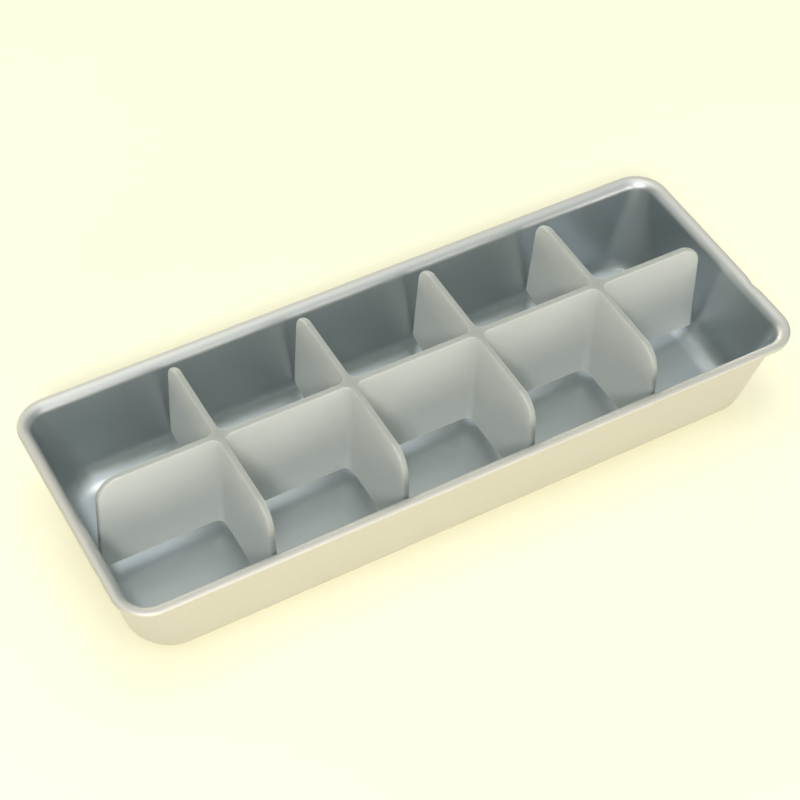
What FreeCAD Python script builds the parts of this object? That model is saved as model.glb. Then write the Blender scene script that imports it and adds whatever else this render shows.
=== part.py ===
import FreeCAD, Part
import math
import os
import Sketcher

# Ice cube tray: a deep-drawn aluminium pan and a lift-out plastic divider with ten cells.
# The origin is the middle of the pan's underside, +X runs along the tray, +Y across it, +Z up.

SIZES = {
    # The pan, measured over its rim, and the sheet that it is drawn from
    "rim_length": 260.0,
    "rim_width": 100.0,
    "rim_corner": 12.6,
    "pan_height": 40.0,
    "sheet_gauge": 0.8,
    # The lip: its width outside the wall, the bend out of the wall, and the rolled edge
    "lip_width": 4.2,
    "lip_bend": 3.0,
    "edge_roll": 1.4,
    "edge_drop": 1.6,
    # The drawn walls and floor, with radii taken on the inside
    "wall_draft": 6.5,
    "floor_corner": 18.0,
    "floor_radius": 9.2,
    # The divider: one spine, and cross fins at an even pitch
    "fin_count": 4,
    "fin_pitch": 49.3,
    "web_gauge": 2.2,
    "divider_rise": 8.6,
    "floor_gap": 4.7,
    "seat_clearance": 0.3,
    "spine_top_half": 118.0,
    "fin_top_half": 38.3,
    "fin_toe_run": 15.0,
    "top_round": 9.0,
    "crossing_radius": 3.0,
}

# Places that several features share, each written from the sheet's cells
LEAN = "tan(dims.wall_draft)"
BEND_HEIGHT = "(dims.pan_height - dims.lip_bend)"
WALL_HALF_LENGTH = "(dims.rim_length / 2 - dims.lip_width)"
WALL_HALF_WIDTH = "(dims.rim_width / 2 - dims.lip_width)"
WALL_CORNER = "(dims.rim_corner - dims.lip_width)"
RADIUS_HEIGHT = "(dims.sheet_gauge + dims.floor_radius)"
LOW_EDGE = "(dims.sheet_gauge + dims.floor_gap)"
HIGH_EDGE = "(dims.pan_height + dims.divider_rise)"
SEAT_RADIUS = "(dims.floor_radius - dims.seat_clearance)"

NEAR = 0.01

doc = FreeCAD.newDocument("ice_cube_tray")
dims = doc.addObject("Spreadsheet::Sheet", "dims")
for row, (alias, size) in enumerate(SIZES.items(), start=1):
    dims.set(f"A{row}", alias)
    dims.set(f"B{row}", str(size))
    dims.setAlias(f"B{row}", alias)
doc.recompute()


def worked_out(holder, expression):
    """Number that an expression on the sheet gives."""
    result = holder.evalExpression(expression)
    return float(getattr(result, "Value", result))


def new_body(label):
    """An empty body under its own label."""
    body = doc.addObject("PartDesign::Body", label)
    body.Label = label
    return body


def sketch_on(body, role, name, lift="0"):
    """A sketch on one of the body's own origin planes, lifted off it by an expression."""
    sketch = body.newObject("Sketcher::SketchObject", name)
    plane = next(item for item in body.Origin.OriginFeatures if item.Role == role)
    sketch.AttachmentSupport = [(plane, "")]
    sketch.MapMode = "FlatFace"
    sketch.setExpression("AttachmentOffset.Base.z", lift)
    return sketch


def hold(sketch, kind, *where, to):
    """Dimension a sketch and tie the dimension to an expression on the sheet."""
    place = sketch.addConstraint(Sketcher.Constraint(kind, *where, worked_out(sketch, to)))
    name = f"{kind.lower()}_{place}"
    sketch.renameConstraint(place, name)
    sketch.setExpression(f"Constraints.{name}", to)


def rounded_rectangle(sketch, half_x, half_y, corner):
    """Four corner arcs joined by four tangent sides, centred on the sketch's origin."""
    radius = worked_out(sketch, corner)
    reach_x = worked_out(sketch, half_x) - radius
    reach_y = worked_out(sketch, half_y) - radius
    quarter = math.pi / 2
    for turn, (sign_x, sign_y) in enumerate(((1, 1), (-1, 1), (-1, -1), (1, -1))):
        centre = FreeCAD.Vector(sign_x * reach_x, sign_y * reach_y, 0)
        circle = Part.Circle(centre, FreeCAD.Vector(0, 0, 1), radius)
        sketch.addGeometry(Part.ArcOfCircle(circle, turn * quarter, (turn + 1) * quarter))
    for turn in range(4):
        start = sketch.Geometry[turn].EndPoint
        end = sketch.Geometry[(turn + 1) % 4].StartPoint
        sketch.addGeometry(Part.LineSegment(start, end))
    for turn in range(4):
        side = turn + 4
        level = "Horizontal" if turn % 2 == 0 else "Vertical"
        sketch.addConstraint(Sketcher.Constraint("Tangent", turn, 2, side, 1))
        sketch.addConstraint(Sketcher.Constraint("Tangent", side, 2, (turn + 1) % 4, 1))
        sketch.addConstraint(Sketcher.Constraint(level, side))
    for turn in range(1, 4):
        sketch.addConstraint(Sketcher.Constraint("Equal", 0, turn))
    sketch.addConstraint(Sketcher.Constraint("Symmetric", 0, 3, 2, 3, -1, 1))
    hold(sketch, "Radius", 0, to=corner)
    hold(sketch, "DistanceX", 0, 3, to=f"{half_x} - {corner}")
    hold(sketch, "DistanceY", 0, 3, to=f"{half_y} - {corner}")


def closed_outline(sketch, corners):
    """Outline through corners of (x, y), or (x, y, radius, turn) where an arc leaves the corner.

    A turn of 1 bends to the left on the way to the next corner, and -1 to the right.
    """
    points = [FreeCAD.Vector(*(worked_out(sketch, text) for text in item[:2]), 0) for item in corners]
    starts = []
    for place, item in enumerate(corners):
        start, end = points[place], points[(place + 1) % len(points)]
        if len(item) == 2:
            sketch.addGeometry(Part.LineSegment(start, end))
            starts.append(1)
            continue
        radius, turn = worked_out(sketch, item[2]), item[3]
        chord = end - start
        rise = math.sqrt(max(radius**2 - chord.Length**2 / 4, 0))
        side = FreeCAD.Vector(-chord.y, chord.x, 0).normalize() * turn
        circle = Part.Circle((start + end) / 2 + side * rise, FreeCAD.Vector(0, 0, 1), radius)
        first, last = (start, end) if turn > 0 else (end, start)
        sketch.addGeometry(Part.ArcOfCircle(circle, circle.parameter(first), circle.parameter(last)))
        starts.append(1 if turn > 0 else 2)
    for place, item in enumerate(corners):
        following = (place + 1) % len(corners)
        joint = (place, 3 - starts[place], following, starts[following])
        sketch.addConstraint(Sketcher.Constraint("Coincident", *joint))
        hold(sketch, "DistanceX", place, starts[place], to=item[0])
        hold(sketch, "DistanceY", place, starts[place], to=item[1])
        if len(item) == 4:
            hold(sketch, "Radius", place, to=item[2])


def edges_where(feature, wanted):
    """Names of the feature's edges whose points all meet a condition."""
    names = []
    for place, edge in enumerate(feature.Shape.Edges, start=1):
        span = edge.ParameterRange
        middle = edge.valueAt((span[0] + span[1]) / 2)
        if all(wanted(point) for point in (edge.valueAt(span[0]), middle, edge.valueAt(span[1]))):
            names.append(f"Edge{place}")
    return names


def round_off(body, name, base, edges, radius):
    """A fillet on named edges, with its radius tied to the sheet."""
    fillet = body.newObject("PartDesign::Fillet", name)
    fillet.Base = (base, edges)
    fillet.setExpression("Radius", radius)
    doc.recompute()
    return fillet


def corner_outline(body, name, lift, half_x, half_y, corner):
    """Outline between one rounded corner of a rectangle and a square corner a lip's width outside it."""
    sketch = sketch_on(body, "XY_Plane", name, lift)
    out_x = f"({half_x} + dims.lip_width)"
    out_y = f"({half_y} + dims.lip_width)"
    turn_x = f"({half_x} - {corner})"
    turn_y = f"({half_y} - {corner})"
    closed_outline(
        sketch,
        [(half_x, turn_y, corner, 1), (turn_x, half_y), (turn_x, out_y), (out_x, out_y), (out_x, turn_y)],
    )
    return sketch


def drawn_block(body, name, inset, floor_height, floor_corner, floor_radius):
    """The form inside the walls: flat leaning sides, corners that widen downwards, a rounded floor."""
    mouth_x = f"({WALL_HALF_LENGTH} - {inset})"
    mouth_y = f"({WALL_HALF_WIDTH} - {inset})"
    taper = f"(({BEND_HEIGHT} - {floor_height}) * {LEAN})"
    mouth = sketch_on(body, "XY_Plane", f"{name}_mouth", BEND_HEIGHT)
    closed_outline(
        mouth,
        [(mouth_x, mouth_y), (f"-{mouth_x}", mouth_y), (f"-{mouth_x}", f"-{mouth_y}"), (mouth_x, f"-{mouth_y}")],
    )
    block = body.newObject("PartDesign::Pad", f"{name}_block")
    block.Profile = mouth
    block.Reversed = True
    block.setExpression("Length", f"{BEND_HEIGHT} - {floor_height}")
    doc.recompute()

    sides = [f"Face{n}" for n, face in enumerate(block.Shape.Faces, start=1) if face.normalAt(0, 0).z ** 2 < 0.5]
    walls = body.newObject("PartDesign::Draft", f"{name}_walls")
    walls.Base = (block, sides)
    walls.NeutralPlane = (mouth, [""])
    walls.Reversed = True
    walls.setExpression("Angle", "dims.wall_draft")
    body.Tip = walls
    doc.recompute()

    # One corner is cut round, from the lip's tighter radius to the floor's wider one, and mirrored
    mouth_corner = f"({WALL_CORNER} - {inset})"
    corner = body.newObject("PartDesign::SubtractiveLoft", f"{name}_corner")
    corner.Profile = corner_outline(body, f"{name}_high_corner", BEND_HEIGHT, mouth_x, mouth_y, mouth_corner)
    low_x = f"({mouth_x} - {taper})"
    low_y = f"({mouth_y} - {taper})"
    corner.Sections = [corner_outline(body, f"{name}_low_corner", floor_height, low_x, low_y, floor_corner)]
    corner.Ruled = True
    doc.recompute()
    corners = body.newObject("PartDesign::MultiTransform", f"{name}_corners")
    corners.Originals = [corner]
    halves = [body.newObject("PartDesign::Mirrored", f"{name}_{word}") for word in ("lengthwise", "crosswise")]
    for half, role in zip(halves, ("YZ_Plane", "XZ_Plane")):
        plane = next(item for item in body.Origin.OriginFeatures if item.Role == role)
        half.MirrorPlane = (plane, [""])
    corners.Transformations = halves
    body.Tip = corners
    doc.recompute()

    level = worked_out(corners, floor_height)
    around_floor = edges_where(corners, lambda point: abs(point.z - level) < NEAR)
    round_off(body, f"{name}_floor_radius", corners, around_floor, floor_radius)


def drawn_pan():
    """The pan: leaning walls, a floor with large radii, and a lip with a rolled edge."""
    body = new_body("tray_pan")
    drawn_block(body, "outside", "0", "0", "(dims.floor_corner + dims.sheet_gauge)", RADIUS_HEIGHT)
    cavity = new_body("pan_cavity")
    gauge = "dims.sheet_gauge"
    drawn_block(cavity, "inside", gauge, gauge, "dims.floor_corner", "dims.floor_radius")
    hollow = body.newObject("PartDesign::Boolean", "hollow")
    hollow.Type = "Cut"
    hollow.setObjects([cavity])
    doc.recompute()

    path = sketch_on(body, "XY_Plane", "lip_path", BEND_HEIGHT)
    rounded_rectangle(path, WALL_HALF_LENGTH, WALL_HALF_WIDTH, WALL_CORNER)
    section = sketch_on(body, "YZ_Plane", "lip_section")
    inner_bend = "(dims.lip_bend - dims.sheet_gauge)"
    bend_end = f"({WALL_HALF_WIDTH} + {inner_bend})"
    rim = "(dims.rim_width / 2)"
    roll_start = f"({rim} - dims.edge_roll)"
    roll_height = "(dims.pan_height - dims.edge_roll)"
    edge_height = "(dims.pan_height - dims.edge_drop)"
    under = "(dims.pan_height - dims.sheet_gauge)"
    closed_outline(
        section,
        [
            (WALL_HALF_WIDTH, BEND_HEIGHT),
            (f"({WALL_HALF_WIDTH} - dims.sheet_gauge)", BEND_HEIGHT, "dims.lip_bend", -1),
            (bend_end, "dims.pan_height"),
            (roll_start, "dims.pan_height", "dims.edge_roll", -1),
            (rim, roll_height),
            (rim, edge_height),
            (f"({rim} - dims.sheet_gauge)", edge_height),
            (f"({rim} - dims.sheet_gauge)", roll_height),
            (roll_start, under),
            (bend_end, under, inner_bend, 1),
        ],
    )
    lip = body.newObject("PartDesign::AdditivePipe", "rolled_lip")
    lip.Profile = section
    lip.Spine = (path, [])
    doc.recompute()
    return body


def moulded_divider():
    """The divider: a spine and cross fins moulded in one piece, held by its lower corners."""
    body = new_body("cube_divider")

    def radius_centre(half_span):
        wall = f"({half_span} - dims.sheet_gauge - ({BEND_HEIGHT} - {RADIUS_HEIGHT}) * {LEAN})"
        return f"({wall} - dims.floor_radius / cos(dims.wall_draft))"

    # The spine's end meets the floor radius at its lower edge, a clearance off the metal
    end_drop = f"({RADIUS_HEIGHT} - {LOW_EDGE})"
    spine_low = f"({radius_centre(WALL_HALF_LENGTH)} + sqrt({SEAT_RADIUS} ^ 2 - {end_drop} ^ 2))"
    spine_side = sketch_on(body, "XZ_Plane", "spine_side")
    closed_outline(
        spine_side,
        [
            (f"-{spine_low}", LOW_EDGE),
            (spine_low, LOW_EDGE),
            ("dims.spine_top_half", HIGH_EDGE),
            ("-dims.spine_top_half", HIGH_EDGE),
        ],
    )
    spine = body.newObject("PartDesign::Pad", "spine")
    spine.Profile = spine_side
    spine.Midplane = True
    spine.setExpression("Length", "dims.web_gauge")

    # A fin's outer corner sits where the wall runs into the floor radius, and its toe rises to it
    corner = f"({radius_centre(WALL_HALF_WIDTH)} + {SEAT_RADIUS} * cos(dims.wall_draft))"
    corner_height = f"({RADIUS_HEIGHT} - {SEAT_RADIUS} * sin(dims.wall_draft))"
    toe = f"({corner} - dims.fin_toe_run)"
    first_fin = "(-dims.fin_pitch * (dims.fin_count - 1) / 2)"
    fin_side = sketch_on(body, "YZ_Plane", "fin_side", first_fin)
    closed_outline(
        fin_side,
        [
            (f"-{toe}", LOW_EDGE),
            (toe, LOW_EDGE),
            (corner, corner_height),
            ("dims.fin_top_half", HIGH_EDGE),
            ("-dims.fin_top_half", HIGH_EDGE),
            (f"-{corner}", corner_height),
        ],
    )
    fin = body.newObject("PartDesign::Pad", "fin")
    fin.Profile = fin_side
    fin.Midplane = True
    fin.setExpression("Length", "dims.web_gauge")
    doc.recompute()

    fins = body.newObject("PartDesign::LinearPattern", "fins")
    fins.Originals = [fin]
    long_axis = next(item for item in body.Origin.OriginFeatures if item.Role == "X_Axis")
    fins.Direction = (long_axis, [""])
    fins.setExpression("Occurrences", "dims.fin_count")
    fins.setExpression("Length", "dims.fin_pitch * (dims.fin_count - 1)")
    body.Tip = fins
    doc.recompute()

    half_web = dims.get("web_gauge") / 2
    half_run = dims.get("fin_top_half") / 2
    top = dims.get("pan_height") + dims.get("divider_rise")

    def at_crossing(point):
        return abs(abs(point.y) - half_web) < NEAR and abs(point.x) < dims.get("spine_top_half") - half_run

    upright = [
        name
        for name in edges_where(fins, at_crossing)
        if fins.Shape.getElement(name).tangentAt(fins.Shape.getElement(name).FirstParameter).z**2 > 0.5
    ]
    crossings = round_off(body, "crossing_rounds", fins, upright, "dims.crossing_radius")

    def at_top_end(point):
        past_fin = abs(point.y) > dims.get("fin_top_half") - NEAR
        past_spine = abs(point.x) > dims.get("spine_top_half") - NEAR
        return abs(point.z - top) < NEAR and (past_fin or past_spine)

    round_off(body, "top_rounds", crossings, edges_where(crossings, at_top_end), "dims.top_round")
    return body


pieces = [drawn_pan(), moulded_divider()]
doc.recompute()

for item in doc.Objects:
    faults = [state for state in item.State if state in ("Invalid", "Error")]
    if faults:
        raise RuntimeError(f"{item.Name} failed: {faults}")

os.makedirs("parts", exist_ok=True)
for piece in pieces:
    shape = piece.Shape
    if shape.isNull() or not shape.isValid() or len(shape.Solids) != 1:
        raise RuntimeError(f"{piece.Label} isn't one valid solid")
    print(piece.Label, "volume", round(shape.Volume, 1), "mm3, box", shape.optimalBoundingBox(False))
    shape.exportStep(f"parts/{piece.Label}.step")
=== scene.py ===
"""Ice cube tray: a drawn aluminium pan with a lift-out divider in milky plastic.

All lengths in the classes are in millimetres in the part's own frame: X along the tray,
Y across it and Z up from the surface that it stands on. Meshes are stored in metres.
"""

import logging
import math
from dataclasses import dataclass
from enum import Enum

import bpy
import numpy as np
from mathutils import Matrix, Vector, geometry


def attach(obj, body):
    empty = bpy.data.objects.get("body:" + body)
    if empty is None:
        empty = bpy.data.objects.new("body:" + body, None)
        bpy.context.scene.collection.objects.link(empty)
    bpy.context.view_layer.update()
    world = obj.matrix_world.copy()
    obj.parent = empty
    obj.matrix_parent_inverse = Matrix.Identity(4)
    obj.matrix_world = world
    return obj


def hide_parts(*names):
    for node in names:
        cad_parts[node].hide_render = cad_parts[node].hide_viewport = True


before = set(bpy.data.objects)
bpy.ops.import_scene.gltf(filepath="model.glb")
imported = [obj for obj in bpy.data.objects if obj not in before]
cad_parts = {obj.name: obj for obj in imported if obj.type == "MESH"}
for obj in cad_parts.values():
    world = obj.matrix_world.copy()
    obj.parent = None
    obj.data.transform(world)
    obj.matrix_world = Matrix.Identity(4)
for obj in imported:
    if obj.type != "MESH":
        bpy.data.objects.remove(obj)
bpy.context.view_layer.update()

log = logging.getLogger("ice_cube_tray")

MM = 0.001
CREASE = math.radians(32)  # steeper turns than this between two faces stay sharp

# Attributes at the points of a piece, for its material: a painted warm reflection on the pan's lip and
# outside, which are also duller, painted shade on the divider's upper and outer edges, and a painted
# glow along the feet of its webs.
PAINTED_WARMTH_AND_DULL = "handled"
PAINTED_EDGE_SHADE = "edge"
PAINTED_FOOT_GLOW = "foot"

# For Blender's triangulation: keep the triangles inside the ring, and join points this close.
INSIDE_RING = 1
SAME_POINT = 1e-6

# Most of a noise texture's values lie between these.
NOISE_LOW = 0.3
NOISE_HIGH = 0.7

# Rows of an outline in plan: x, y, the shares by which a point moves with the tips, and a normal.
Stretch = np.ndarray


class Node(Enum):
    """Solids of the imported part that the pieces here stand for."""

    PAN = "tray_pan"
    DIVIDER = "cube_divider"


class Body(Enum):
    """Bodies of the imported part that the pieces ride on."""

    PAN = "pan"
    DIVIDER = "divider"


class Slot(Enum):
    """Material slots of the record."""

    ALUMINIUM = "satin_aluminium"
    POLYETHYLENE = "milky_polyethylene"


def linear(code: str) -> tuple[float, float, float, float]:
    """Turn an sRGB hex colour into linear light.

    Args:
        code: Six hex digits.

    Returns:
        Red, green, blue and an alpha of 1.
    """
    channels = [int(code[place : place + 2], 16) / 255 for place in (0, 2, 4)]
    light = [c / 12.92 if c <= 0.04045 else ((c + 0.055) / 1.055) ** 2.4 for c in channels]
    return (light[0], light[1], light[2], 1.0)


def add_node(
    tree: bpy.types.NodeTree, kind: str, settings: dict | None = None, **links: object
) -> bpy.types.Node:
    """Add a node with its settings and its inputs.

    Args:
        tree: Node tree that takes it.
        kind: Blender's name of the node type.
        settings: Properties of the node, by name.
        **links: Inputs by name, with _ for a space, or in0, in1 by place. Each is a value or an
            output socket.

    Returns:
        The new node.
    """
    node = tree.nodes.new(kind)
    for name, value in (settings or {}).items():
        setattr(node, name, value)
    for name, value in links.items():
        place = name[2:] if name.startswith("in") else ""
        socket = node.inputs[int(place)] if place.isdigit() else node.inputs[name.replace("_", " ")]
        if isinstance(value, bpy.types.NodeSocket):
            tree.links.new(value, socket)
        else:
            socket.default_value = value
    return node


def new_material(name: str) -> tuple[bpy.types.Material, bpy.types.NodeTree]:
    """Start an empty node material.

    Args:
        name: What the material is and how its surface was made.

    Returns:
        The material and its node tree.
    """
    material = bpy.data.materials.new(name)
    material.use_nodes = True
    material.node_tree.nodes.clear()
    return material, material.node_tree


def lid(ring: np.ndarray, first: int) -> list[list[int]]:
    """Fill a flat ring with triangles, which also suits a branching outline.

    Args:
        ring: Points of the ring, as points by three.
        first: Number of the ring's first point in the mesh.

    Returns:
        Triangles by point number, all turning to the left in plan.
    """
    plan = [Vector(point) for point in ring[:, :2].tolist()]
    filled = geometry.delaunay_2d_cdt(plan, [], [list(range(len(plan)))], INSIDE_RING, SAME_POINT)
    corners = np.array([points[0] for points in filled[3]])
    triangles = corners[np.array(filled[2])]
    flat = ring[triangles][..., :2]
    edge, other = flat[:, 1] - flat[:, 0], flat[:, 2] - flat[:, 0]
    turned = edge[:, 0] * other[:, 1] - edge[:, 1] * other[:, 0] < 0
    triangles[turned] = triangles[turned, ::-1]
    return (triangles + first).tolist()


def closed_surface(name: str, rows: np.ndarray) -> bpy.types.Object:
    """Make a mesh from rings of points, closed round each ring and capped at both ends.

    Point (i, j) joins (i, j+1), (i+1, j+1) and (i+1, j), with j counted round the ring.

    Args:
        name: Name of the piece.
        rows: Points in millimetres, as rings by points by three, which face outwards when
            the rings turn to the left and climb.

    Returns:
        The object, at the origin and linked to the scene.
    """
    rings, around = rows.shape[:2]
    index = np.arange(rings * around).reshape(rings, around)
    ahead = np.roll(index, -1, axis=1)
    quads = np.stack([index[:-1], ahead[:-1], ahead[1:], index[1:]], axis=-1).reshape(-1, 4)
    lids = [lid(ring, first) for ring, first in ((rows[0], 0), (rows[-1], int(index[-1, 0])))]
    faces = [*quads.tolist(), *(face[::-1] for face in lids[0]), *lids[1]]
    mesh = bpy.data.meshes.new(name)
    mesh.from_pydata((rows.reshape(-1, 3) * MM).tolist(), [], faces)
    mesh.validate()
    mesh.shade_smooth()
    mesh.set_sharp_from_angle(angle=CREASE)
    piece = bpy.data.objects.new(name, mesh)
    bpy.context.scene.collection.objects.link(piece)
    return piece


def mark(piece: bpy.types.Object, name: str, shares: np.ndarray) -> None:
    """Store a number at each point of a piece, for its material to read.

    Args:
        piece: The piece.
        name: Name of the attribute.
        shares: One number a point.
    """
    attribute = piece.data.attributes.new(name, "FLOAT", "POINT")
    attribute.data.foreach_set("value", shares.astype(np.float32))


def dress(
    piece: bpy.types.Object, material: bpy.types.Material, body: Body, node: Node
) -> None:
    """Give a piece its material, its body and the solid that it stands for.

    Args:
        piece: Finished piece.
        material: Its material.
        body: Body that it rides on.
        node: Solid that it replaces.
    """
    piece.data.materials.append(material)
    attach(piece, body.value)
    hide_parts(node.value)
    log.info("%s: %d faces", piece.name, len(piece.data.polygons))


@dataclass(frozen=True)
class SatinAluminium:
    """Deep-drawn sheet aluminium with an etched satin finish, which blurs what it mirrors.

    The lip and the outside are duller, as hands and shelves rub them, and their warmer grey is a painted
    reflection of the cream board, against the cooler grey inside.
    """

    colour: str = "C9CFD2"
    # The next colour, for the lip and the outside, is warmer: a painted reflection of the cream board.
    handled_colour: str = "D6D3CB"
    roughness: float = 0.36
    handled_roughness: float = 0.62
    speckle: float = 0.06
    grain_mm: float = 1.1
    grain_detail: float = 3.0
    grain_depth_mm: float = 0.02
    grain_strength: float = 0.5
    waviness_mm: float = 38.0
    wave_detail: float = 1.0
    wave_depth_mm: float = 0.6
    wave_strength: float = 0.35

    def build(self) -> bpy.types.Material:
        """Make the material, with a soft grain and slow waves of the drawn sheet.

        Returns:
            The material.
        """
        material, tree = new_material("satin_aluminium_deep_drawn")
        place = add_node(tree, "ShaderNodeTexCoord").outputs["Object"]
        grain = add_node(
            tree,
            "ShaderNodeTexNoise",
            Vector=place,
            Scale=1 / (self.grain_mm * MM),
            Detail=self.grain_detail,
        )
        waves = add_node(
            tree,
            "ShaderNodeTexNoise",
            Vector=place,
            Scale=1 / (self.waviness_mm * MM),
            Detail=self.wave_detail,
        )
        handled = add_node(tree, "ShaderNodeAttribute", {"attribute_name": PAINTED_WARMTH_AND_DULL}).outputs["Fac"]
        # The lip and the outside get the warmer grey, a painted reflection of the cream board, and a
        # rougher finish.
        colour = add_node(
            tree,
            "ShaderNodeMix",
            {"data_type": "RGBA"},
            in0=handled,
            in6=linear(self.colour),
            in7=linear(self.handled_colour),
        )
        dull = add_node(
            tree,
            "ShaderNodeMapRange",
            Value=handled,
            To_Min=self.roughness,
            To_Max=self.handled_roughness,
        )
        speck = add_node(
            tree,
            "ShaderNodeMapRange",
            Value=grain.outputs["Fac"],
            From_Min=NOISE_LOW,
            From_Max=NOISE_HIGH,
            To_Min=1 - self.speckle,
            To_Max=1 + self.speckle,
        )
        rough = add_node(
            tree,
            "ShaderNodeMath",
            {"operation": "MULTIPLY"},
            in0=dull.outputs["Result"],
            in1=speck.outputs["Result"],
        )
        slow = add_node(
            tree,
            "ShaderNodeBump",
            Height=waves.outputs["Fac"],
            Distance=self.wave_depth_mm * MM,
            Strength=self.wave_strength,
        )
        fine = add_node(
            tree,
            "ShaderNodeBump",
            Height=grain.outputs["Fac"],
            Normal=slow.outputs["Normal"],
            Distance=self.grain_depth_mm * MM,
            Strength=self.grain_strength,
        )
        shader = add_node(
            tree,
            "ShaderNodeBsdfPrincipled",
            Base_Color=colour.outputs[2],
            Metallic=1.0,
            Roughness=rough.outputs["Value"],
            Normal=fine.outputs["Normal"],
        )
        add_node(tree, "ShaderNodeOutputMaterial", Surface=shader.outputs["BSDF"])
        return material


@dataclass(frozen=True)
class MilkyPolyethylene:
    """Moulded polyethylene: waxy and cloudy, so light that enters its faces spreads inside it.

    Its upper and outer edges are painted a darker grey, painted shade that keeps them no lighter than
    the faces, and the feet of the webs are painted a pale cream, a painted glow.
    """

    colour: str = "E1E4DE"
    # The edge colour is painted shade for the upper and outer edges.
    painted_shade_colour: str = "B2B5AF"
    # The foot colour is a painted glow along the feet of the webs.
    foot_colour: str = "FBF8EC"
    roughness: float = 0.42
    ior: float = 1.51
    cloudiness: float = 0.6
    clearness: float = 0.25
    depth_mm: float = 5.0
    spread: tuple[float, float, float] = (1.0, 1.0, 0.95)
    flow_mm: float = 26.0
    flow_detail: float = 2.0
    flow_depth_mm: float = 0.3
    flow_strength: float = 0.3

    def build(self) -> bpy.types.Material:
        """Make the material, with light that spreads inside it and faint flow marks.

        Returns:
            The material.
        """
        material, tree = new_material("milky_polyethylene_moulded")
        place = add_node(tree, "ShaderNodeTexCoord").outputs["Object"]
        flow = add_node(
            tree,
            "ShaderNodeTexNoise",
            Vector=place,
            Scale=1 / (self.flow_mm * MM),
            Detail=self.flow_detail,
        )
        bump = add_node(
            tree,
            "ShaderNodeBump",
            Height=flow.outputs["Fac"],
            Distance=self.flow_depth_mm * MM,
            Strength=self.flow_strength,
        )
        edge = add_node(tree, "ShaderNodeAttribute", {"attribute_name": PAINTED_EDGE_SHADE}).outputs["Fac"]
        foot = add_node(tree, "ShaderNodeAttribute", {"attribute_name": PAINTED_FOOT_GLOW}).outputs["Fac"]
        # Painted shade: the upper and outer edges take the darker edge colour.
        webs = add_node(
            tree,
            "ShaderNodeMix",
            {"data_type": "RGBA"},
            in0=edge,
            in6=linear(self.colour),
            in7=linear(self.painted_shade_colour),
        )
        # Painted glow: the feet of the webs take the pale cream.
        colour = add_node(
            tree,
            "ShaderNodeMix",
            {"data_type": "RGBA"},
            in0=foot,
            in6=webs.outputs[2],
            in7=linear(self.foot_colour),
        )
        shader = add_node(
            tree,
            "ShaderNodeBsdfPrincipled",
            Base_Color=colour.outputs[2],
            Roughness=self.roughness,
            IOR=self.ior,
            Normal=bump.outputs["Normal"],
            Subsurface_Weight=self.cloudiness,
            Subsurface_Radius=self.spread,
            Subsurface_Scale=self.depth_mm * MM,
            Transmission_Weight=self.clearness,
        )
        add_node(tree, "ShaderNodeOutputMaterial", Surface=shader.outputs["BSDF"])
        return material


@dataclass(frozen=True)
class PaleBoard:
    """Matt cream board that the tray stands on."""

    colour: str = "FEFBE0"

    def build(self) -> bpy.types.Material:
        """Make the material.

        Returns:
            The material.
        """
        material, tree = new_material("pale_board_matt")
        shader = add_node(tree, "ShaderNodeBsdfDiffuse", Color=linear(self.colour))
        add_node(tree, "ShaderNodeOutputMaterial", Surface=shader.outputs["BSDF"])
        return material


@dataclass
class DrawnSkin:
    """One face of the drawn sheet: leaning sides, corners that widen downwards, a rounded floor edge."""

    half_length: float
    half_width: float
    corner_mouth: float
    corner_floor: float
    mouth_height: float
    floor_height: float
    floor_radius: float
    draft: float

    def lean(self, angle: np.ndarray) -> np.ndarray:
        """Slope of the wall outwards per millimetre of height.

        tan(lean) = (tan(draft) - k) (|cos a| + |sin a|) + k, with k the change of the corner's
        radius per millimetre of height. It is tan(draft) on the flat sides.

        Args:
            angle: Direction that the wall faces in plan.

        Returns:
            The angle of lean, in radians.
        """
        change = (self.corner_mouth - self.corner_floor) / (self.mouth_height - self.floor_height)
        spread = np.abs(np.cos(angle)) + np.abs(np.sin(angle))
        return np.arctan((math.tan(self.draft) - change) * spread + change)

    def wall(self, angle: np.ndarray, sign: np.ndarray, height: np.ndarray) -> np.ndarray:
        """Points of the wall: corner centre + r (cos a, sin a), with sizes and r linear in height.

        Args:
            angle: Direction that the wall faces in plan.
            sign: Signs of the corner's centre, as points by two.
            height: Height of each point.

        Returns:
            Points by three.
        """
        down = self.mouth_height - height
        change = (self.corner_floor - self.corner_mouth) / (self.mouth_height - self.floor_height)
        radius = self.corner_mouth + down * change
        inward = down * math.tan(self.draft)
        half = np.stack([self.half_length - inward, self.half_width - inward], axis=-1)
        plan = sign * (half - radius[..., None]) + radius[..., None] * heading(angle)
        return np.concatenate([plan, height[..., None]], axis=-1)

    def floor_edge(self, angle: np.ndarray, sign: np.ndarray) -> tuple[np.ndarray, np.ndarray]:
        """Centres of a ball of the floor radius that rolls in the corner of wall and floor.

        centre = wall point - R n, with n = (cos l cos a, cos l sin a, -sin l) and l the lean.

        Args:
            angle: Direction that the wall faces in plan.
            sign: Signs of the corner's centre, as points by two.

        Returns:
            Centres as points by three, and the height where the wall runs into the radius.
        """
        lean = self.lean(angle)
        height = self.floor_height + self.floor_radius * (1 - np.sin(lean))
        touch = self.wall(angle, sign, height)
        centre = touch - self.floor_radius * facing(angle, -lean)
        return centre, height


def heading(angle: np.ndarray) -> np.ndarray:
    """Unit vectors in plan: (cos a, sin a)."""
    return np.stack([np.cos(angle), np.sin(angle)], axis=-1)


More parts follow.
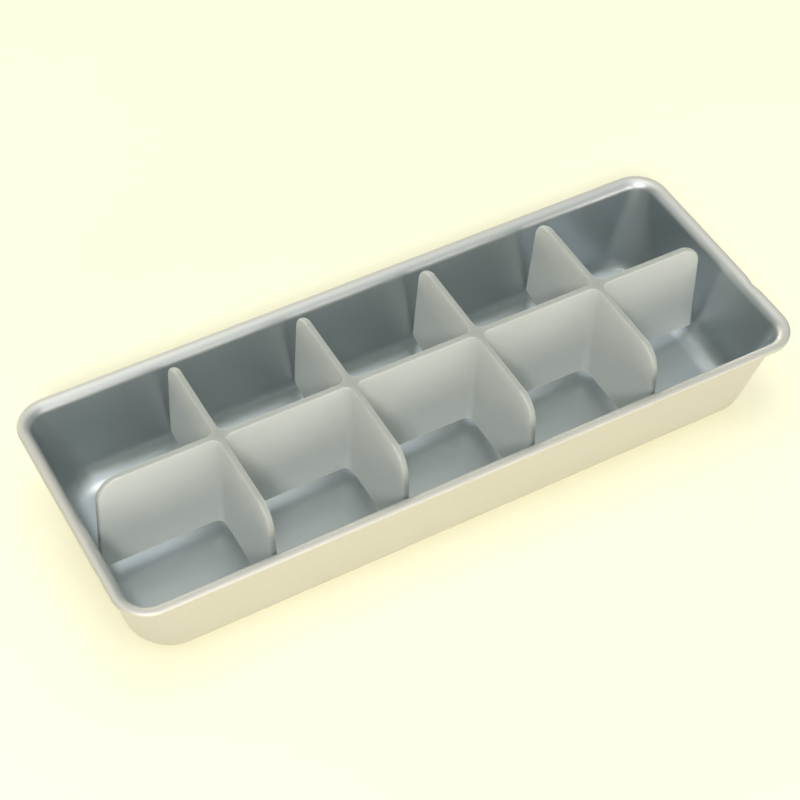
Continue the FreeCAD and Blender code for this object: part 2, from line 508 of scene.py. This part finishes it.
def facing(angle: np.ndarray, rise: np.ndarray | float) -> np.ndarray:
    """Unit vectors (cos e cos a, cos e sin a, sin e) for a heading a and a rise e."""
    rise = np.broadcast_to(rise, angle.shape)
    return np.stack([np.cos(rise) * np.cos(angle), np.cos(rise) * np.sin(angle), np.sin(rise)], axis=-1)


def between(start: np.ndarray, end: np.ndarray, shares: np.ndarray) -> np.ndarray:
    """Rows of points from start towards end: start + s (end - start)."""
    return start[None] + shares[:, None, None] * (end - start)[None]


@dataclass
class DrawnPan:
    """The pan: one sheet with leaning walls, rounded floor edges and a lip with a rolled edge."""

    rim_length: float = 260.0
    rim_width: float = 100.0
    rim_corner: float = 12.6
    height: float = 40.0
    gauge: float = 0.8
    lip_width: float = 4.2
    lip_bend: float = 3.0
    bend_round: float = 4.0
    edge_roll: float = 1.0
    edge_drop: float = 1.6
    edge_round: float = 0.3
    draft: float = math.radians(6.5)
    floor_corner: float = 18.0
    floor_radius: float = 9.2
    knock_place: float = -19.5
    knock_width: float = 2.6
    knock_depth: float = 0.45
    corner_steps: int = 28
    long_steps: int = 44
    short_steps: int = 40
    floor_steps: int = 9
    floor_start: float = 0.04
    radius_steps: int = 18
    wall_steps: int = 16
    bend_steps: int = 14
    roll_steps: int = 12
    cut_steps: int = 4

    def skin(self, inset: float) -> DrawnSkin:
        """One face of the sheet, inset from the outside by 0 or by the gauge."""
        return DrawnSkin(
            half_length=self.rim_length / 2 - self.lip_width - inset,
            half_width=self.rim_width / 2 - self.lip_width - inset,
            corner_mouth=self.rim_corner - self.lip_width - inset,
            corner_floor=self.floor_corner + self.gauge - inset,
            mouth_height=self.height - self.lip_bend,
            floor_height=inset,
            floor_radius=self.floor_radius + self.gauge - inset,
            draft=self.draft,
        )

    def corner_columns(self) -> tuple[np.ndarray, np.ndarray]:
        """Columns of the four corners: a quarter turn of headings in each.

        Returns:
            Headings of the columns, and the signs of the centre of the corner that each is in.
        """
        quarter = np.linspace(0, math.pi / 2, self.corner_steps + 1)
        angle = (np.arange(4)[:, None] * math.pi / 2 + quarter[None]).reshape(-1)
        signs = np.repeat(np.array([(1, 1), (-1, 1), (-1, -1), (1, -1)]), quarter.size, axis=0)
        return angle, signs

    def along_sides(self, rows: np.ndarray) -> np.ndarray:
        """Add the columns of the flat sides: straight steps from one corner to the next.

        Args:
            rows: Rings that have the corner columns alone.

        Returns:
            Rings with all columns.
        """
        corners = np.split(rows, 4, axis=1)
        full = []
        for place, corner in enumerate(corners):
            steps = self.long_steps if place % 2 == 0 else self.short_steps
            share = (np.arange(1, steps) / steps)[None, :, None]
            start, end = corner[:, -1:], corners[(place + 1) % 4][:, :1]
            full += [corner, start + share * (end - start)]
        return np.concatenate(full, axis=1)

    def floor_rings(self, skin: DrawnSkin, edge: np.ndarray) -> np.ndarray:
        """Rings of the flat floor, from the middle line out to where its rounded edge starts.

        Args:
            skin: Face of the sheet.
            edge: Points where the floor's edge starts to curve.

        Returns:
            Rings by points by three.
        """
        reach = skin.half_length - skin.half_width
        middle = edge.copy()
        middle[:, 0] = np.clip(edge[:, 0], -reach, reach)
        middle[:, 1] = 0
        return between(middle, edge, np.linspace(self.floor_start, 1, self.floor_steps)[:-1])

    def side_of_sheet(self, inset: float, bend_radius: float) -> np.ndarray:
        """Rings of one face of the sheet, from the middle of its floor up to the flat of the lip.

        Floor, then c + R (cos e cos a, cos e sin a, sin e) with e from -90 degrees to -l, then
        the straight wall, then b - r (cos e cos a, cos e sin a, -sin e) with e from l to 90.

        Args:
            inset: Distance in from the outside of the sheet.
            bend_radius: Radius of the lip's bend on this face.

        Returns:
            Rings by points by three, with the corner columns alone.
        """
        skin = self.skin(inset)
        angle, sign = self.corner_columns()
        lean = skin.lean(angle)
        centre, low = skin.floor_edge(angle, sign)
        sweep = np.linspace(0, 1, self.radius_steps + 1)[:, None]
        rises = -math.pi / 2 + sweep * (math.pi / 2 - lean)
        curved = centre[None] + skin.floor_radius * facing(np.broadcast_to(angle, rises.shape), rises)
        rim = self.height - (inset == 0) * self.gauge
        high = rim - bend_radius * (1 - np.sin(lean))
        top = skin.wall(angle, sign, high)
        bottom = skin.wall(angle, sign, low)
        walls = between(bottom, top, np.linspace(0, 1, self.wall_steps + 1)[1:])
        pivot = top + bend_radius * facing(angle, -lean)
        turns = lean + np.linspace(0, 1, self.bend_steps + 1)[1:, None] * (math.pi / 2 - lean)
        bend = pivot[None] - bend_radius * facing(np.broadcast_to(angle, turns.shape), -turns)
        return np.concatenate([self.floor_rings(skin, curved[0]), curved, walls, bend])

    def rolled_edge(self) -> np.ndarray:
        """Rings of the lip's edge, from its top round the roll and the cut edge to its underside.

        Each ring is the rim's outline set in by u at a height z: the roll is
        u = r - r sin t, z = h - r + r cos t, and the same with r less the gauge for its inside.

        Returns:
            Rings by points by three, with the corner columns alone.
        """
        turn = np.linspace(0, math.pi / 2, self.roll_steps + 1)
        roll, inner = self.edge_roll, self.edge_roll - self.gauge
        low = self.height - self.edge_drop
        cut = np.linspace(0, math.pi / 2, self.cut_steps + 1)[1:]
        small = self.edge_round
        insets = np.concatenate(
            [
                roll - roll * np.sin(turn),
                small - small * np.cos(cut),
                self.gauge - small + small * np.sin(cut),
                roll - inner * np.sin(turn[::-1]),
            ]
        )
        heights = np.concatenate(
            [
                self.height - roll + roll * np.cos(turn),
                low + small - small * np.sin(cut),
                low + small - small * np.cos(cut),
                self.height - roll + inner * np.cos(turn[::-1]),
            ]
        )
        angle, sign = self.corner_columns()
        half = np.array([self.rim_length / 2, self.rim_width / 2]) - self.rim_corner
        radii = self.rim_corner - insets
        plan = (sign * half)[None] + radii[:, None, None] * heading(angle)[None]
        level = np.broadcast_to(heights[:, None, None], (*plan.shape[:2], 1))
        return np.concatenate([plan, level], axis=-1)

    def knocked(self, rows: np.ndarray) -> np.ndarray:
        """Press a small knock into the lip at the tray's right end.

        Points move by -k s exp(-((y - y0) / w)^2) in x and z, with s from 0 at the wall to 1
        at the rim, so both faces of the sheet move alike.

        Args:
            rows: Rings of the pan.

        Returns:
            Rings with the knock.
        """
        out = np.clip((rows[..., 0] - self.rim_length / 2 + self.lip_width) / self.lip_width, 0, 1)
        near = np.exp(-(((rows[..., 1] - self.knock_place) / self.knock_width) ** 2))
        push = self.knock_depth * near * out * (rows[..., 2] > self.height - self.lip_bend)
        moved = rows.copy()
        moved[..., 0] -= push
        moved[..., 2] -= push
        return moved

    def build(self, finish: SatinAluminium) -> bpy.types.Object:
        """Build the pan's closed surface and dress it.

        Args:
            finish: Finish of the sheet.

        Returns:
            The piece.
        """
        inside = self.side_of_sheet(self.gauge, self.bend_round)
        edge = self.rolled_edge()
        outside = self.side_of_sheet(0, self.bend_round - self.gauge)[::-1]
        rings = self.knocked(self.along_sides(np.concatenate([inside, edge, outside])))
        piece = closed_surface("drawn_pan", rings[::-1])
        # Share of the painted warm reflection and the duller finish on each ring: none inside, rising
        # across the lip's bend, full on the lip and the outside.
        bend_start = len(inside) - self.bend_steps
        handled = np.clip((np.arange(len(rings)) - bend_start) / self.bend_steps, 0, 1)
        mark(piece, PAINTED_WARMTH_AND_DULL, np.repeat(handled[::-1], rings.shape[1]))
        dress(piece, finish.build(), Body.PAN, Node.PAN)
        return piece


@dataclass
class MouldedDivider:
    """The divider: a spine with four cross fins in one moulding, rounded at its upper ends."""

    fin_count: int = 4
    fin_pitch: float = 49.3
    web: float = 2.2
    crossing_radius: float = 3.0
    low_edge: float = 5.5
    high_edge: float = 48.6
    spine_top: float = 118.0
    spine_low: float = 120.33
    fin_top: float = 38.3
    fin_corner: float = 41.5
    fin_corner_height: float = 8.99
    fin_toe: float = 26.5
    top_round: float = 9.0
    tip_round: float = 0.9
    edge_round: float = 0.4
    # Height over which the painted glow at the feet of the webs fades.
    foot_glow: float = 1.3
    side_steps: int = 10
    tip_steps: int = 5
    hollow_steps: int = 10
    edge_steps: int = 5
    toe_steps: int = 6
    rise_steps: int = 15
    top_steps: int = 14
    top_sweep: float = math.radians(70)

    def straight(self, start: tuple, end: tuple, normal: tuple) -> Stretch:
        """Steps along a straight side, without its ends: start + t (end - start).

        Args:
            start: x, y and the shares by which the point moves with the tips in x and y.
            end: The same for the other end.
            normal: Outward normal of the side.

        Returns:
            Rows of x, y, the two shares and the normal.
        """
        share = (np.arange(1, self.side_steps) / self.side_steps)[:, None]
        points = np.array(start) + share * (np.array(end) - np.array(start))
        return np.concatenate([points, np.broadcast_to(normal, (len(points), 2))], axis=1)

    def quarter(self, centre: tuple, radius: float, start: float, sense: int, side: int) -> Stretch:
        """Quarter circle c + r (cos a, sin a), with its outward normal side * (cos a, sin a).

        Args:
            centre: x, y and the two shares of the centre.
            radius: Radius of the circle.
            start: Angle that it starts at, in quarter turns.
            sense: 1 to turn to the left and -1 to the right.
            side: 1 round the outside of a corner and -1 in a hollow one.

        Returns:
            Rows of x, y, the two shares and the normal.
        """
        steps = self.tip_steps if side > 0 else self.hollow_steps
        angle = (start + sense * np.linspace(0, 1, steps + 1)) * math.pi / 2
        around = heading(angle)
        points = np.tile(np.array(centre, dtype=float), (angle.size, 1))
        points[:, :2] += radius * around
        return np.concatenate([points, side * around], axis=1)

    def outline(self) -> Stretch:
        """Outline of the spine and fins in plan, as one closed loop that turns to the left.

        Half of it is the spine's right end and the upper half of each fin from right to left.
        The other half is the same turned by half a turn, so it is the negative of every row.

        Returns:
            Rows of x, y, the two shares and the outward normal.
        """
        half, small, hollow = self.web / 2, self.tip_round, self.crossing_radius
        near = half + hollow
        places = (np.arange(self.fin_count)[::-1] - (self.fin_count - 1) / 2) * self.fin_pitch
        rows = [
            self.straight((places[0] + near, -half, 0, 0), (-small, -half, 1, 0), (0, -1)),
            self.quarter((-small, small - half, 1, 0), small, -1, 1, 1),
            self.quarter((-small, half - small, 1, 0), small, 0, 1, 1),
            self.straight((-small, half, 1, 0), (places[0] + near, half, 0, 0), (0, 1)),
        ]
        for count, place in enumerate(places):
            left, right = place - half, place + half
            rows += [
                self.quarter((place + near, near, 0, 0), hollow, -1, -1, -1),
                self.straight((right, near, 0, 0), (right, -small, 0, 1), (1, 0)),
                self.quarter((right - small, -small, 0, 1), small, 0, 1, 1),
                self.quarter((left + small, -small, 0, 1), small, 1, 1, 1),
                self.straight((left, -small, 0, 1), (left, near, 0, 0), (-1, 0)),
                self.quarter((place - near, near, 0, 0), hollow, 0, -1, -1),
            ]
            if count + 1 < len(places):
                ahead = places[count + 1] + near
                rows.append(self.straight((place - near, half, 0, 0), (ahead, half, 0, 0), (0, 1)))
        upper = np.concatenate(rows)
        return np.concatenate([upper, -upper])

    def reach(self, height: np.ndarray, top: float, low: float, low_height: float) -> np.ndarray:
        """How far a tip stands from the middle at each height.

        A line t + g (h - z), and past the tangent point of the upper round
        c + sqrt(r^2 - (z - h + r)^2), with c the line at h - r less r sqrt(1 + g^2).

        Args:
            height: Heights z.
            top: The line's reach t at the upper edge h.
            low: The line's reach at low_height.
            low_height: Height of the line's lower end.

        Returns:
            Reach at each height.
        """
        slope = (low - top) / (self.high_edge - low_height)
        radius = self.top_round
        above = height - (self.high_edge - radius)
        centre = top + slope * radius - radius * math.sqrt(1 + slope**2)
        curve = centre + np.sqrt(np.clip(radius**2 - above**2, 0, None))
        line = top + slope * (self.high_edge - height)
        return np.where(above > radius * slope / math.sqrt(1 + slope**2), curve, line)

    def levels(self) -> tuple[np.ndarray, np.ndarray]:
        """Heights of the rings, and how far each is drawn in where the edges are rounded.

        At an edge of radius s the height is s (1 - cos t) past it and the inset s (1 - sin t).

        Returns:
            Heights and insets.
        """
        small = self.edge_round
        turn = np.linspace(0, math.pi / 2, self.edge_steps + 1)
        toe = np.linspace(self.low_edge + small, self.fin_corner_height, self.toe_steps + 1)[1:]
        shoulder = self.high_edge - self.top_round
        rise = np.linspace(self.fin_corner_height, shoulder, self.rise_steps + 1)[1:]
        sweep = np.linspace(0, self.top_sweep, self.top_steps + 1)[1:]
        arc = self.high_edge - self.top_round * (1 - np.sin(sweep))
        last = self.high_edge - small + small * np.sin(turn)
        heights = np.concatenate([self.low_edge + small * (1 - np.cos(turn)), toe, rise, arc, last])
        upright = np.zeros(toe.size + rise.size + arc.size)
        insets = np.concatenate([small * (1 - np.sin(turn)), upright, small * (1 - np.cos(turn))])
        order = np.argsort(heights, kind="stable")
        return heights[order], insets[order]

    def build(self, finish: MilkyPolyethylene) -> bpy.types.Object:
        """Build the divider's closed surface and dress it.

        Each ring is the outline with its tips moved out by their reach at that height and drawn
        in along its normal: p = (x, y) + (shares * reach) - inset * n.

        Args:
            finish: Finish of the moulding.

        Returns:
            The piece.
        """
        height, inset = self.levels()
        spine = self.reach(height, self.spine_top, self.spine_low, self.low_edge)
        fins = self.reach(height, self.fin_top, self.fin_corner, self.fin_corner_height)
        share = (height - self.low_edge) / (self.fin_corner_height - self.low_edge)
        toes = self.fin_toe + share * (self.fin_corner - self.fin_toe)
        tips = np.stack([spine, np.where(share < 1, toes, fins)], axis=-1)
        outline = self.outline()
        moved = outline[None, :, :2] + outline[None, :, 2:4] * tips[:, None]
        plan = moved - inset[:, None, None] * outline[None, :, 4:]
        level = np.broadcast_to(height[:, None, None], (*plan.shape[:2], 1))
        piece = closed_surface("moulded_divider", np.concatenate([plan, level], axis=-1))
        # Painted shade on the ends of the tips and on the rounding of the upper edge.
        tip = np.abs((outline[:, 2:4] * outline[:, 4:]).sum(axis=1))
        crown = np.clip((height - self.high_edge + self.edge_round) / self.edge_round, 0, 1)
        mark(piece, PAINTED_EDGE_SHADE, np.maximum(tip[None], crown[:, None]).reshape(-1))
        # Painted glow at the lower edge, fading out over the height just above it.
        foot = np.clip(1 - (height - self.low_edge) / self.foot_glow, 0, 1)
        mark(piece, PAINTED_FOOT_GLOW, np.repeat(foot, len(outline)))
        dress(piece, finish.build(), Body.DIVIDER, Node.DIVIDER)
        return piece


@dataclass(frozen=True)
class Softbox:
    """A flat lamp that shines at the tray."""

    name: str
    place: tuple[float, float, float]
    width: float
    height: float
    power: float
    colour: str

    def build(self) -> None:
        """Hang the lamp, turned to the tray's middle."""
        lamp = bpy.data.lights.new(self.name, "AREA")
        lamp.shape = "RECTANGLE"
        lamp.size = self.width
        lamp.size_y = self.height
        lamp.energy = self.power
        lamp.color = linear(self.colour)[:3]
        holder = bpy.data.objects.new(self.name, lamp)
        holder.location = self.place
        holder.rotation_euler = (-Vector(self.place)).to_track_quat("-Z", "Y").to_euler()
        bpy.context.scene.collection.objects.link(holder)


@dataclass(frozen=True)
class Studio:
    """Pale board, soft lamps, a pale room and the camera, in metres.

    The room is bright at the horizon and overhead and dim between, as a room with pale walls
    and a lit ceiling is. Its limits are heights of the direction looked in, from 0 to 1.
    """

    board_size: float = 12.0
    walls: str = "FFF9EC"
    shade: str = "8F9090"
    ceiling: str = "E2EBEB"
    shade_from: float = 0.25
    shade_to: float = 0.45
    ceiling_from: float = 0.85
    lamps: tuple[Softbox, ...] = (
        Softbox("flash", (-0.62, -0.94, 1.09), width=0.2, height=0.2, power=10.0, colour="FDFBFC"),
        Softbox("overhead_softbox", (0.0, 0.1, 1.4), width=0.6, height=0.6, power=3.3, colour="FFF8EA"),
        Softbox("front_panel", (0.0, -2.0, 0.45), width=3.0, height=0.8, power=18.0, colour="FFF9EE"),
        Softbox("back_panel", (0.0, 2.0, 0.45), width=3.0, height=0.8, power=20.0, colour="FFF6E2"),
    )
    camera_place: tuple[float, float, float] = (-0.2411, -0.3988, 0.5592)
    yaw: float = -0.5343
    pitch: float = 0.8527
    roll: float = 0.0335
    lens: float = 91.21
    sensor: float = 36.0
    near: float = 0.01

    def build(self) -> None:
        """Build the board, the sky, the lamps and the camera."""
        self.lay_board()
        self.light_sky()
        for lamp in self.lamps:
            lamp.build()
        self.place_camera()
        bpy.context.scene.view_settings.view_transform = "Standard"

    def lay_board(self) -> None:
        """Lay the board that the tray stands on."""
        half = self.board_size / 2
        corners = [(-half, -half, 0), (half, -half, 0), (half, half, 0), (-half, half, 0)]
        mesh = bpy.data.meshes.new("pale_board")
        mesh.from_pydata(corners, [], [(0, 1, 2, 3)])
        board = bpy.data.objects.new("pale_board", mesh)
        board.data.materials.append(PaleBoard().build())
        bpy.context.scene.collection.objects.link(board)

    def light_sky(self) -> None:
        """Light the tray from all round: a colour for each height of the direction looked in."""
        world = bpy.data.worlds.new("pale_room")
        world.use_nodes = True
        tree = world.node_tree
        tree.nodes.clear()
        place = add_node(tree, "ShaderNodeTexCoord").outputs["Generated"]
        height = add_node(tree, "ShaderNodeSeparateXYZ", Vector=place).outputs["Z"]
        room = add_node(tree, "ShaderNodeValToRGB", Fac=height)
        stops = (
            (0.0, self.walls),
            (self.shade_from, self.shade),
            (self.shade_to, self.shade),
            (self.ceiling_from, self.ceiling),
        )
        ramp = room.color_ramp.elements
        while len(ramp) < len(stops):
            ramp.new(1.0)
        for stop, (where, colour) in zip(ramp, stops):
            stop.position = where
            stop.color = linear(colour)
        light = add_node(tree, "ShaderNodeBackground", Color=room.outputs["Color"])
        add_node(tree, "ShaderNodeOutputWorld", Surface=light.outputs["Background"])
        bpy.context.scene.world = world

    def place_camera(self) -> None:
        """Place the camera from its yaw, pitch and roll."""
        forward = Vector(
            (
                -math.sin(self.yaw) * math.cos(self.pitch),
                math.cos(self.yaw) * math.cos(self.pitch),
                -math.sin(self.pitch),
            )
        )
        level = Vector((math.cos(self.yaw), math.sin(self.yaw), 0))
        above = level.cross(forward)
        right = level * math.cos(self.roll) + above * math.sin(self.roll)
        upward = above * math.cos(self.roll) - level * math.sin(self.roll)
        turned = Matrix((right, upward, -forward)).transposed().to_4x4()
        lens = bpy.data.cameras.new("camera")
        lens.lens = self.lens
        lens.sensor_width = self.sensor
        lens.clip_start = self.near
        camera = bpy.data.objects.new("camera", lens)
        camera.matrix_world = Matrix.Translation(self.camera_place) @ turned
        bpy.context.scene.collection.objects.link(camera)
        bpy.context.scene.camera = camera


def main() -> None:
    """Build the pan, the divider and the studio."""
    logging.basicConfig(level=logging.INFO, format="%(name)s: %(message)s")
    DrawnPan().build(SatinAluminium())
    MouldedDivider().build(MilkyPolyethylene())
    Studio().build()


if __name__ == "__main__":
    main()
